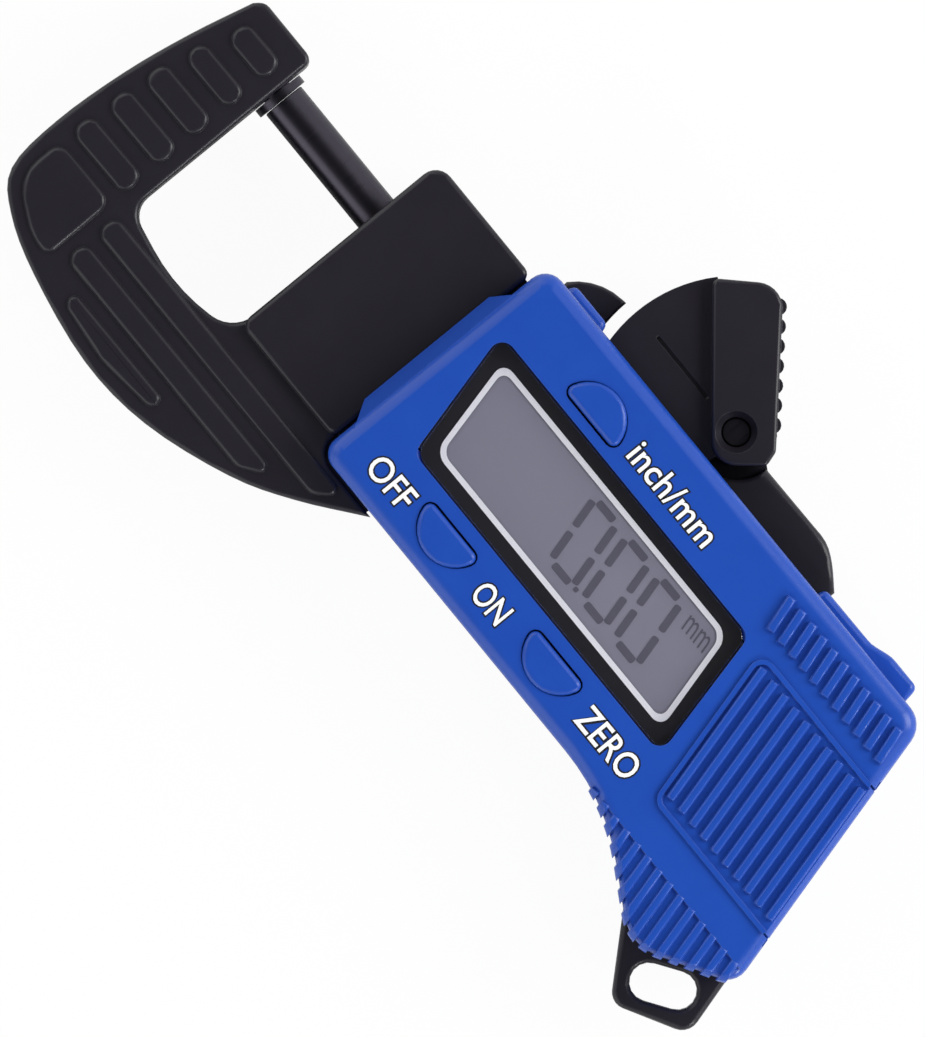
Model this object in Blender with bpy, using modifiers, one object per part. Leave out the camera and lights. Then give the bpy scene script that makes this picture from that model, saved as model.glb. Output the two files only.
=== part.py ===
"""Digital thickness gauge: a pocket snap gauge with a thumb lever, lying on its back.

+X runs along the spindle from the anvil to the tail, +Y to the thumb lever, +Z out of the
display. The origin is on the flat back, under the spindle's axis, at the middle of the length.
Sizes are in millimetres, and each mesh is made in metres.
"""

import math

import bmesh
import bpy
from mathutils import Matrix, Vector

MM = 0.001

# Measuring travel and the lever's swing
TRAVEL = 12.7
SWING = 44.0

# Gaps between pieces that touch, that slide, and that fit closely
GAP = 0.3
RUNNING = 0.1
CLOSE = 0.2

# Layers above the back face
SPLIT_Z = 6.3
FACE_Z = 17.0
WALL = 1.5
EDGE = 1.3
REAR_TOP = SPLIT_Z - GAP / 2
FRONT_LOW = SPLIT_Z + GAP / 2
AXIS_Z = 6.6
CHASSIS_LOW = WALL + GAP
CHASSIS_TOP = CHASSIS_LOW + 1.6
ARM_LOW = 1.8
ARM_TOP = 11.4
BLOCK_LOW = 1.5
BLOCK_TOP = 12.4
WEB_LOW = 9.5
WEB_TOP = 11.3
BOARD_LOW = 11.7
BOARD_TOP = 12.5
PAD_HEIGHT = 0.4

# Slant of the tail end, the display and the ribs, as X per fall in Y
SLANT = math.tan(math.radians(14.9))
END_X = 46.66

# Ribs: how far they stand up, and their spacing on the grip, the shoulder and the door
RIB_HEIGHT = 0.6
GRIP_PITCH = 1.61
GRIP_TOP_Y = -18.55
SHOULDER_PITCH = 1.6
DOOR_PITCH = 1.63

# Housing outline, as corners with their radii
TOP_Y = 9.5
LOW_Y = -18.4
LEFT_X = -12.0
GRIP_TIP = (42.67, -25.32)
TAIL_CORNER = (51.97, -19.93)
SLOT_R = 1.85

# Measuring jaws
ARM_FACE_X = -41.15
BLOCK_FACE_X = -26.15
BLOCK_BACK_X = LEFT_X - GAP
ANVIL_FACE_X = -40.2
ANVIL_R = 2.7
SPINDLE_R = 2.15
SPINDLE_TIP_X = ANVIL_FACE_X + RUNNING
BUSH_R = 3.3
BUSH_END_X = -16.0

# Lever: pivot, rest direction of the thumb panel, and the finger that drives the carriage
PIVOT = (11.55, 13.29)
PANEL_ANGLE = 140.7
PANEL_LOW = 3.9
PANEL_TOP = 12.9
WEB_R = 14.85
FIN_R = 16.1
FIN_BACK = (-4.2, 6.6)
FIN_BACK_R = 6.4
FINGER_R = 1.35
ARM_R = TRAVEL / 2 / math.sin(math.radians(SWING / 2))
ARM_ANGLE = 270.0 - SWING / 2
HUB_CLEAR_R = 4.5
PIN_R = 0.9
PIN_HEAD_R = 1.25
THUMB_RIB_R = 0.85
THUMB_RIB_PITCH = 1.87
LUG_TOP = 3.6
FLANGE_TOP = 9.2
FLANGE_END_X = 29.3
FIN_WAY = ((-9.95, 7.6), (-4.0, 7.6), (-4.0, 12.0), (-9.95, 12.0))

# Carriage on the frame's rail
CARRIAGE_X = (-3.8, 11.0)
CARRIAGE_Y = (-6.2, 5.0)
CARRIAGE_Z = (CHASSIS_TOP + GAP, 9.2)
TOWER_X = (-3.0, 19.5)
TOWER_Y = (-12.4, -5.9)
TOWER_TOP = 10.9
SHANK_R = 1.5
SHANK_END_X = 2.2
RAIL_Y = (-9.4, -7.4)
RAIL_TOP = 5.2

# Return spring between the carriage and the seat on the frame
SPRING_Y = 0.8
SPRING_Z = 6.5
SPRING_COIL_R = 1.55
SPRING_WIRE_R = 0.25
SPRING_TURNS = 9
SEAT_X = (33.2, 34.7)
SEAT_TOP = 8.4

# Display and its stack
WINDOW = ((-9.5, 1.75), (27.1, 1.75), (30.3, -11.45), (-6.1, -11.45))
WINDOW_R = 1.1
WINDOW_Z = (15.55, 16.85)
LCD_BOX = ((-7.6, -10.9), (28.6, 1.1))
LCD_Z = (14.05, 15.35)
ELASTOMER_BOX = ((-6.0, -10.7), (27.0, -9.5))
ELASTOMER_Z = (12.6, 13.95)
BOARD_BOX = ((-5.7, -16.6), (32.8, 7.6))

# Buttons: a half round cap on a bar that holds it in, with a stem over its dome
BUTTON_R = 3.65
BUTTON_TOP = 17.35
BUTTONS = {
    "inch_mm": ((1.8, 3.15), 1),
    "on_off": ((1.8, -13.2), -1),
    "zero": ((17.45, -13.15), -1),
}
DOME_R = 2.2
DOME_Z = (12.6, 12.85)

# Battery door, cell and contacts
DOOR_Y = (-14.7, 1.8)
DOOR_WIDTH = 16.9
DOOR_R = 1.2
BEAD_HALF = 0.25
BEAD_TOP = FACE_Z + 0.3
DOOR_LOW = 15.4
SKIRT_LOW = 12.7
TRAY_LOW = 14.0
POCKET_LOW = 15.2
CELL_CENTRE = (40.8, -7.6)
CELL_R = 5.8
CELL_Z = (9.8, 15.1)
WELL_R = 6.1
CUP_R = 7.0
CUP_LOW = 8.7
WELL_FLOOR = 9.4
CONTACT_X = 33.0

# Screws that hold the covers to the frame, and the board to the front cover
COVER_SCREWS = ((-8.0, -14.6), (-8.0, 5.8), (40.5, 5.6), (47.2, -17.6))
BOARD_SCREWS = ((9.6, -14.8), (27.0, 4.8))
POST_R = 1.9
SCREW_R = 1.0
SCREW_HEAD_R = 1.9
SCREW_HEAD_Z = (0.1, 0.85)
SCREW_TOP = 11.5

# How far a chord may stand off the arc that it replaces
CHORD_ERROR = 0.02


def clear_scene():
    for item in list(bpy.data.objects):
        bpy.data.objects.remove(item, do_unlink=True)


def new_collection(name):
    found = bpy.data.collections.new(name)
    bpy.context.scene.collection.children.link(found)
    return found


def material(name, hex_colour, roughness, metallic=0.0):
    """A plain finish; the colour is an sRGB hex value."""
    found = bpy.data.materials.get(name)
    if found:
        return found
    channels = [int(hex_colour[i : i + 2], 16) / 255 for i in (0, 2, 4)]
    linear = [c / 12.92 if c <= 0.04045 else ((c + 0.055) / 1.055) ** 2.4 for c in channels]
    made = bpy.data.materials.new(name)
    made.use_nodes = True
    shader = made.node_tree.nodes["Principled BSDF"]
    shader.inputs["Base Color"].default_value = (*linear, 1.0)
    shader.inputs["Roughness"].default_value = roughness
    shader.inputs["Metallic"].default_value = metallic
    made.diffuse_color = (*linear, 1.0)
    return made


def black_plastic():
    return material("Black ABS", "1F1F24", 0.5)


def blue_plastic():
    return material("Blue ABS", "1C4CB8", 0.42)


def steel():
    return material("Steel", "A9ACB0", 0.3, 1.0)


def finish(obj, look):
    """Makes a sub-part of the object, smooth but for its real edges."""
    PARTS.objects.link(obj)
    obj.data.materials.clear()
    obj.data.materials.append(look)
    obj.data.shade_smooth()
    obj.data.set_sharp_from_angle(angle=math.radians(35))
    return obj


def helper(obj):
    """Keeps a shape that only cuts or joins another out of the object."""
    CUTTERS.objects.link(obj)
    obj.hide_render = True
    obj.display_type = "WIRE"
    return obj


def combine(target, other, operation):
    """Adds a Boolean to the target with a shape of its own."""
    step = target.modifiers.new(other.name, "BOOLEAN")
    step.operation = operation
    step.solver = "EXACT"
    step.object = helper(other)


def join(target, *others):
    for other in others:
        combine(target, other, "UNION")


def cut(target, *others):
    for other in others:
        combine(target, other, "DIFFERENCE")


def polar(centre, radius, degrees):
    angle = math.radians(degrees)
    return centre[0] + radius * math.cos(angle), centre[1] + radius * math.sin(angle)


def arc(centre, radius, start, end, count):
    return [polar(centre, radius, start + (end - start) * i / count) for i in range(count + 1)]


def rounded(corners):
    """The outline through corners (x, y, radius), with each corner as an arc."""
    outline = []
    for index, (x, y, radius) in enumerate(corners):
        corner = Vector((x, y))
        before = (Vector(corners[index - 1][:2]) - corner).normalized()
        after = (Vector(corners[(index + 1) % len(corners)][:2]) - corner).normalized()
        opening = before.angle(after)
        if radius <= 0:
            outline.append((x, y))
            continue
        centre = corner + (before + after).normalized() * radius / math.sin(opening / 2)
        reach = radius / math.tan(opening / 2)
        first = corner + before * reach - centre
        turn = first.angle_signed(corner + after * reach - centre)
        count = max(2, math.ceil(abs(turn) / math.acos(1 - CHORD_ERROR / radius) / 2))
        start = math.degrees(math.atan2(first.y, first.x))
        outline += arc(centre, radius, start, start - math.degrees(turn), count)
    return outline


def inset(corners, distance):
    """The corners of a counterclockwise outline moved inwards, with their radii to suit."""
    lines = []
    for index, (x, y, _) in enumerate(corners):
        following = corners[(index + 1) % len(corners)]
        along = Vector((following[0] - x, following[1] - y)).normalized()
        inward = Vector((-along.y, along.x))
        lines.append((Vector((x, y)) + inward * distance, along))
    moved = []
    for index, (_, _, radius) in enumerate(corners):
        (p, u), (q, v) = lines[index - 1], lines[index]
        bend = u.x * v.y - u.y * v.x
        step = ((q - p).x * v.y - (q - p).y * v.x) / bend
        place = p + u * step
        new_radius = radius - distance if bend > 0 else radius + distance
        moved.append((place.x, place.y, max(new_radius, CLOSE)))
    return moved


def spline_through(points, steps=4):
    """A smooth run through the points, each end included."""
    ends = [2 * Vector(points[0]) - Vector(points[1])]
    knots = ends + [Vector(p) for p in points] + [2 * Vector(points[-1]) - Vector(points[-2])]
    run = []
    for a, b, c, d in zip(knots, knots[1:], knots[2:], knots[3:]):
        for i in range(steps):
            t = i / steps
            place = 2 * b + (c - a) * t + (2 * a - 5 * b + 4 * c - d) * t**2
            place += (3 * b - a - 3 * c + d) * t**3
            run.append(tuple(place / 2))
    run.append(tuple(points[-1]))
    return run


def round_rim(mesh, height, edge, segments):
    """Bevels the rim of the flat face at this height."""
    shape = bmesh.new()
    shape.from_mesh(mesh)
    rim = [
        e
        for e in shape.edges
        if all(abs(v.co.z - height * MM) < 1e-7 for v in e.verts) and e.calc_face_angle(0) > 0.5
    ]
    bmesh.ops.bevel(
        shape,
        geom=rim,
        offset=edge * MM,
        offset_type="OFFSET",
        segments=segments,
        profile=0.5,
        affect="EDGES",
        clamp_overlap=False,
    )
    shape.to_mesh(mesh)
    shape.free()


def slab(name, outline, low, high, top_edge=0.0, low_edge=0.0, holes=(), segments=3):
    """A flat outline given thickness, with rounded rims where asked."""
    curve = bpy.data.curves.new(name, "CURVE")
    curve.dimensions = "2D"
    curve.fill_mode = "BOTH"
    curve.extrude = (high - low) / 2 * MM
    for ring in (outline, *holes):
        line = curve.splines.new("POLY")
        line.points.add(len(ring) - 1)
        for point, (x, y) in zip(line.points, ring):
            point.co = (x * MM, y * MM, 0.0, 1.0)
        line.use_cyclic_u = True
    drawn = bpy.data.objects.new(name, curve)
    bpy.context.scene.collection.objects.link(drawn)
    bpy.context.view_layer.update()
    graph = bpy.context.evaluated_depsgraph_get()
    mesh = bpy.data.meshes.new_from_object(drawn.evaluated_get(graph))
    bpy.data.objects.remove(drawn)
    mesh.transform(Matrix.Translation((0.0, 0.0, (low + high) / 2 * MM)))
    shape = bmesh.new()
    shape.from_mesh(mesh)
    bmesh.ops.remove_doubles(shape, verts=shape.verts, dist=1e-7)
    bmesh.ops.dissolve_limit(shape, angle_limit=0.001, verts=shape.verts, edges=shape.edges)
    bmesh.ops.recalc_face_normals(shape, faces=shape.faces)
    shape.to_mesh(mesh)
    shape.free()
    if top_edge:
        round_rim(mesh, high, top_edge, segments)
    if low_edge:
        round_rim(mesh, low, low_edge, segments)
    return bpy.data.objects.new(name, mesh)


def box(name, x_span, y_span, z_span, edge=0.0):
    """A block between two X, two Y and two Z values."""
    shape = bmesh.new()
    bmesh.ops.create_cube(shape, size=1.0)
    spans = (x_span, y_span, z_span)
    sizes = [(high - low) * MM for low, high in spans]
    middle = [(high + low) / 2 * MM for low, high in spans]
    placing = Matrix.Translation(middle) @ Matrix.Diagonal((*sizes, 1.0))
    bmesh.ops.transform(shape, matrix=placing, verts=shape.verts)
    if edge:
        bmesh.ops.bevel(
            shape,
            geom=shape.edges[:],
            offset=edge * MM,
            segments=2,
            profile=0.5,
            affect="EDGES",
        )
    mesh = bpy.data.meshes.new(name)
    shape.to_mesh(mesh)
    shape.free()
    return bpy.data.objects.new(name, mesh)


def turned(name, profile, place, along_x=False, steps=24):
    """A turned piece: its profile (radius, height) runs down from the top of its axis."""
    shape = bmesh.new()
    points = [shape.verts.new((radius * MM, 0.0, height * MM)) for radius, height in profile]
    for first, second in zip(points, points[1:]):
        shape.edges.new((first, second))
    if profile[0][0] > 0:
        shape.edges.new((points[-1], points[0]))
    mesh = bpy.data.meshes.new(name)
    shape.to_mesh(mesh)
    shape.free()
    made = bpy.data.objects.new(name, mesh)
    made.location = Vector(place) * MM
    if along_x:
        made.rotation_euler = (0.0, math.radians(90), 0.0)
    screw = made.modifiers.new("Turn", "SCREW")
    screw.steps = steps
    screw.render_steps = steps
    screw.use_merge_vertices = True
    screw.merge_threshold = 0.00001
    return made


def cylinder(name, radius, place, low, high, along_x=False, steps=24):
    profile = ((0.0, high), (radius, high), (radius, low), (0.0, low))
    return turned(name, profile, place, along_x, steps)


def bars(name, ends, width, low, high):
    """Ribs as one mesh: each runs between two points of the face."""
    shape = bmesh.new()
    for (x0, y0), (x1, y1) in ends:
        run = Vector((x1 - x0, y1 - y0))
        turn = Matrix.Rotation(math.atan2(run.y, run.x), 4, "Z")
        middle = Vector(((x0 + x1) / 2, (y0 + y1) / 2, (low + high) / 2)) * MM
        size = Matrix.Diagonal((run.length * MM, width * MM, (high - low) * MM, 1.0))
        bmesh.ops.create_cube(shape, size=1.0, matrix=Matrix.Translation(middle) @ turn @ size)
    top = [e for e in shape.edges if all(abs(v.co.z - high * MM) < 1e-7 for v in e.verts)]
    rim = width * 0.25 * MM
    bmesh.ops.bevel(shape, geom=top, offset=rim, segments=2, profile=0.5, affect="EDGES")
    mesh = bpy.data.meshes.new(name)
    shape.to_mesh(mesh)
    shape.free()
    return bpy.data.objects.new(name, mesh)


def move_origin(obj, place):
    """Puts a piece's origin on its joint, and leaves the piece where it is."""
    shift = Vector(place) * MM
    obj.data.transform(Matrix.Translation(-shift))
    obj.location = shift
    return obj


def end_x(y):
    """X of the slanted tail end at this Y."""
    return END_X - SLANT * y


def cover_corners():
    return [
        (LEFT_X, TOP_Y, 2.0),
        (LEFT_X, LOW_Y, 1.8),
        (30.9, LOW_Y, 23.0),
        (*GRIP_TIP, 4.5),
        (*TAIL_CORNER, 2.2),
        (end_x(TOP_Y), TOP_Y, 2.6),
    ]


def side_bumps():
    """Outlines of the low swellings of the covers' sides, left and right of the lever."""
    left = [(-9.3, 8.6, 0), (-3.6, 8.6, 0), (-4.1, 10.3, 0.7), (-8.8, 10.3, 0.7)]
    right = [
        (28.1, 8.6, 0),
        (41.6, 8.6, 0),
        (41.2, 11.2, 0.7),
        (37.4, 11.2, 3.0),
        (35.2, 10.45, 3.0),
        (28.5, 10.4, 0.6),
    ]
    return rounded(left), rounded(right)


def lever_point(along, across):
    """A place on the lever at rest: along the thumb panel, and across it to its ribbed edge."""
    tip = polar(PIVOT, along, PANEL_ANGLE)
    return polar(tip, across, PANEL_ANGLE - 90)


def finger_centre():
    return polar(PIVOT, ARM_R, ARM_ANGLE)


def loop_corners():
    """The tail with its lanyard slot, and its root inside the housing."""
    return [
        (39.4, -23.2, 0.8),
        (46.0, -30.3, 1.6),
        (53.0, -26.4, 1.8),
        (51.0, -19.3, 0.8),
        (47.0, -20.6, 0.8),
        (39.4, -20.2, 0.8),
    ]


def fin_corners():
    """The fin beside the lever, and its root through the housing's side."""
    root = [(-9.5, 8.1), (-5.7, 8.1), (-5.7, 6.0), (-4.45, 6.0)]
    return root + arc(PIVOT, FIN_R, 191.0, 181.0, 3) + arc(FIN_BACK, FIN_BACK_R, 97.0, 149.0, 5)


def flange_outline():
    """The flange along the housing's side, hollowed for the lever's round end."""
    hollow = arc(PIVOT, HUB_CLEAR_R, 0.0, -88.0, 7)
    inside = [(11.8, 6.6), (FLANGE_END_X, 6.6)]
    crest = spline_through([(FLANGE_END_X, 10.85), (27.0, 12.45), (25.0, 13.3), (22.5, 13.35)], 3)
    return hollow + inside + crest


def jaw_outline():
    """The arm and the bow round the throat, seen from the display side."""
    outer = spline_through(
        [
            (-49.0, 3.6),
            (-50.5, -2.9),
            (-51.65, -10.0),
            (-52.15, -17.9),
            (-51.4, -24.0),
            (-48.1, -26.8),
            (-42.2, -28.8),
            (-32.8, -30.3),
            (-24.6, -29.6),
            (-15.8, -26.6),
            (-10.0, -23.2),
            (-4.2, LOW_Y - GAP),
        ]
    )
    inner = [
        (BLOCK_BACK_X, LOW_Y - GAP, 2.1),
        (BLOCK_BACK_X, -14.6, 0),
        (BLOCK_FACE_X + 0.15, -14.6, 0),
        (BLOCK_FACE_X + 0.15, -17.6, 3.3),
        (-32.9, -19.3, 19.0),
        (ARM_FACE_X, -17.7, 2.3),
        (ARM_FACE_X, 4.56, 1.0),
        (-48.3, 4.56, 1.2),
    ]
    return rounded([(x, y, 0) for x, y in outer] + inner)


def heel_outline(grow=0.0):
    """Where the bow of the jaw runs on into the housing, under the covers' corner."""
    low, wall, neck = LOW_Y - 0.6 - grow, LOW_Y + 1.2 + grow, -15.5
    end, inside = -4.8 + grow, LEFT_X + 1.7 + grow
    return [
        (LEFT_X - 0.6 - grow, low),
        (end, low),
        (end, wall),
        (inside, wall),
        (inside, neck),
        (LEFT_X - 0.6 - grow, neck),
    ]


def pad(name, corners):
    return slab(name, rounded(corners), ARM_TOP - 1.0, ARM_TOP + PAD_HEIGHT, top_edge=0.35, segments=2)


def arm_pads():
    """Raised pads on the arm, one below the other, and the ribs that follow the bow."""
    rows = (
        (-48.0, 2.1, -0.5),
        (-49.2, -2.3, -4.75),
        (-50.0, -6.4, -9.1),
        (-50.3, -10.6, -13.3),
        (-50.5, -14.9, -17.5),
    )
    shapes = []
    for index, (left, top, low) in enumerate(rows):
        corners = [(left, top, 1.2), (left, low, 1.2), (-42.7, low, 1.2), (-42.7, top, 1.2)]
        shapes.append(pad(f"arm_pad_{index + 1}", corners))
    corner_pad = [
        (-50.4, -18.8, 1.4),
        (-50.4, -24.0, 4.0),
        (-45.6, -26.5, 6.0),
        (-42.8, -26.8, 0.9),
        (-42.8, -18.8, 1.4),
    ]
    long_rib = [(-41.6, -19.2, 1.2), (-41.6, -21.7, 1.2), (-9.4, -21.7, 1.6), (-7.2, -19.2, 0.7)]
    middle_rib = [(-41.5, -23.0, 1.2), (-41.5, -25.5, 1.2), (-16.0, -25.5, 1.6), (-12.4, -23.0, 0.7)]
    low_rib = [
        (-38.5, -26.8, 0.7),
        (-38.2, -28.3, 0.9),
        (-32.0, -29.0, 9.0),
        (-25.4, -28.3, 0.9),
        (-25.1, -26.8, 0.7),
    ]
    for name, corners in (
        ("corner_pad", corner_pad),
        ("long_rib", long_rib),
        ("middle_rib", middle_rib),
        ("low_rib", low_rib),
    ):
        shapes.append(pad(name, corners))
    return shapes


def build_frame():
    """The black moulding that everything is fixed to."""
    frame = slab("frame", jaw_outline(), ARM_LOW, ARM_TOP, top_edge=0.4, low_edge=0.6, segments=2)
    block_corners = [
        (BLOCK_FACE_X, 7.65, 1.8),
        (BLOCK_FACE_X, -16.6, 1.2),
        (BLOCK_BACK_X, -16.6, 0.9),
        (BLOCK_BACK_X, 7.65, 0.9),
    ]
    block = slab("block", rounded(block_corners), BLOCK_LOW, BLOCK_TOP, 0.4, 0.6, segments=2)
    neck = box("neck", (BLOCK_BACK_X - 1, LEFT_X + WALL), (-16.0, 7.0), (2.0, 10.4))
    bridge = box("bridge", (BLOCK_BACK_X - 0.9, LEFT_X + 3), (-15.8, 6.8), (1.9, 3.3))
    heel = slab("heel", heel_outline(), 2.3, 10.3)
    chassis_corners = inset(cover_corners(), WALL + GAP)
    chassis = slab("chassis", rounded(chassis_corners), CHASSIS_LOW, CHASSIS_TOP)
    hub = arc(PIVOT, 4.9, -15.0, 0.0, 2) + arc(PIVOT, 4.0, 8.0, 195.0, 10)
    lug_outline = [(7.2, 5.0), (16.3, 5.0), *hub]
    lug = slab("lug", lug_outline, CHASSIS_LOW + 0.1, LUG_TOP)
    flange = slab("flange", flange_outline(), 2.1, FLANGE_TOP, top_edge=0.5, segments=2)
    fin = slab("fin", fin_corners(), 4.8, 8.0, top_edge=0.3, segments=2)
    fin_leg = box("fin_leg", (-5.8, -4.6), (3.0, 7.55), (2.8, 7.7))
    slot_ends = arc((46.75, -26.2), SLOT_R, 123.7, 303.7, 8) + arc((49.1, -24.6), SLOT_R, -56.3, 123.7, 8)
    loop = slab("loop", rounded(loop_corners()), 3.8, 7.8, 0.45, 0.45, holes=[slot_ends], segments=2)
    loop_root = box("loop_root", (40.6, 44.4), (-21.6, -17.5), (2.6, 7.0))
    seat = box("seat", SEAT_X, (-3.0, 4.6), (2.9, SEAT_TOP))
    rail = box("rail", (-8.5, 32.5), RAIL_Y, (3.0, RAIL_TOP))
    join(frame, block, neck, bridge, heel, chassis, lug, flange, fin, fin_leg)
    join(frame, loop, loop_root, seat, rail)
    join(frame, *arm_pads())
    axis = (0.0, 0.0, AXIS_Z)
    bore = cylinder("bush_bore", BUSH_R + GAP, axis, BLOCK_FACE_X - 1, BUSH_END_X + GAP, True)
    tail_bore = cylinder("spindle_bore", SPINDLE_R + GAP, axis, BUSH_END_X - 1, LEFT_X + 3, True)
    anvil_hole = cylinder("anvil_hole", SHANK_R + GAP, axis, -46.3, ARM_FACE_X + 1, True)
    pin_hole = cylinder("pin_hole", PIN_R + CLOSE, (*PIVOT, 0.0), 0.5, 5.0)
    cut(frame, bore, tail_bore, anvil_hole, pin_hole)
    for index, place in enumerate(COVER_SCREWS):
        hole = cylinder(f"frame_hole_{index + 1}", SCREW_R + GAP, (*place, 0.0), 1.0, 5.0, steps=16)
        cut(frame, hole)
    return finish(frame, black_plastic())


def build_rear_cover():
    outline = rounded(cover_corners())
    cover = slab("rear_cover", outline, 0.0, REAR_TOP, low_edge=EDGE)
    for index, bump in enumerate(side_bumps()):
        join(cover, slab(f"rear_bump_{index + 1}", bump, 0.9, REAR_TOP - 0.05, low_edge=0.5, segments=2))
    hollow = slab("rear_hollow", rounded(inset(cover_corners(), WALL)), WALL, FACE_Z)
    neck_way = box("rear_neck_way", (LEFT_X - 2, LEFT_X + 2.5), (-16.3, 7.3), (WALL, FACE_Z))
    heel_way = slab("rear_heel_way", heel_outline(GAP), WALL, FACE_Z)
    way_end = FLANGE_END_X + GAP
    lever_way = box("rear_lever_way", (-3.6, way_end), (7.5, 13.0), (WALL, FACE_Z))
    fin_way = slab("rear_fin_way", FIN_WAY, 4.5, 9.0)
    loop_way = slab("rear_loop_way", rounded(inset(loop_corners(), -GAP)), 3.5, 9.0)
    cut(cover, hollow, neck_way, heel_way, lever_way, fin_way, loop_way)
    for index, place in enumerate(COVER_SCREWS):
        centre = (*place, 0.0)
        cut(cover, cylinder(f"rear_hole_{index + 1}", SCREW_R + GAP, centre, -1.0, 3.0, steps=16))
        cut(cover, cylinder(f"head_recess_{index + 1}", SCREW_HEAD_R + CLOSE, centre, -1.0, 0.95))
    return finish(cover, blue_plastic())


def grip_ribs():
    """Ribs of the lower grip, from a straight line on the face down over the cover's edge."""
    length = 9.0
    starts = [29.3 + GRIP_PITCH * index for index in range(14)]
    ends = [((x, GRIP_TOP_Y), (x + SLANT * length, GRIP_TOP_Y - length)) for x in starts]
    ribs = bars("grip_ribs", ends, 0.85, 9.5, FACE_Z + 0.1)
    skin = rounded(inset(cover_corners(), -0.3))
    combine(ribs, slab("grip_skin", skin, 9.0, FACE_Z + 0.2, top_edge=EDGE), "INTERSECT")
    return ribs


def shoulder_rib_ends():
    """The short row of ribs between the display's label and the tail end."""
    starts = [27.0 + SHOULDER_PITCH * index for index in range(11)]
    return [((x, 7.4), (x + 1.1, 3.8)) for x in starts]


def half_round(centre, side, radius, corner):
    """A half disc with its flat edge through the centre; side tells which way it bulges."""
    reach = math.sqrt((radius - corner) ** 2 - corner**2)
    x, y = centre
    swing = math.degrees(math.asin(corner / (radius - corner)))
    round_edge = arc(centre, radius, swing, 180.0 - swing, 14)
    left = arc((x - reach, y + corner), corner, 180.0 - swing, 270.0, 4)
    right = arc((x + reach, y + corner), corner, 270.0, 360.0 + swing, 4)
    outline = round_edge + left[1:] + right[:-1]
    return [(px, y + side * (py - y)) for px, py in outline]


def window_outline(distance=0.0):
    """The slanted display opening, moved inwards by a distance."""
    corners = [(x, y, WINDOW_R) for x, y in reversed(WINDOW)]
    return rounded(inset(corners, distance) if distance else corners)


def door_corners(grow=0.0, overrun=0.0):
    """The battery door's place on the face: two slanted ends and two level sides."""
    low, high = DOOR_Y[0] - grow, DOOR_Y[1] + grow
    return [
        (end_x(high) - DOOR_WIDTH - grow, high, DOOR_R + grow),
        (end_x(low) - DOOR_WIDTH - grow, low, DOOR_R + grow),
        (end_x(low) + overrun, low, 0),
        (end_x(high) + overrun, high, 0),
    ]


def lip():
    """The sloping lip of the cover over the guide block."""
    outline = [(-11.4, 5.9), (-13.2, 3.25), (-13.2, -12.0), (-11.4, -14.9)]
    made = slab("lip", outline, BLOCK_TOP + GAP, 16.6)
    shape = bmesh.new()
    shape.from_mesh(made.data)
    whole = shape.verts[:] + shape.edges[:] + shape.faces[:]
    cut_off = bmesh.ops.bisect_plane(
        shape,
        geom=whole,
        plane_co=Vector((-11.9, 0.0, 16.5)) * MM,
        plane_no=Vector((-3.2, 0.0, 1.3)),
        clear_outer=True,
    )
    rim = [e for e in cut_off["geom_cut"] if isinstance(e, bmesh.types.BMEdge)]
    bmesh.ops.edgeloop_fill(shape, edges=rim)
    bmesh.ops.recalc_face_normals(shape, faces=shape.faces)
    shape.to_mesh(made.data)
    shape.free()
    return made


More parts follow.
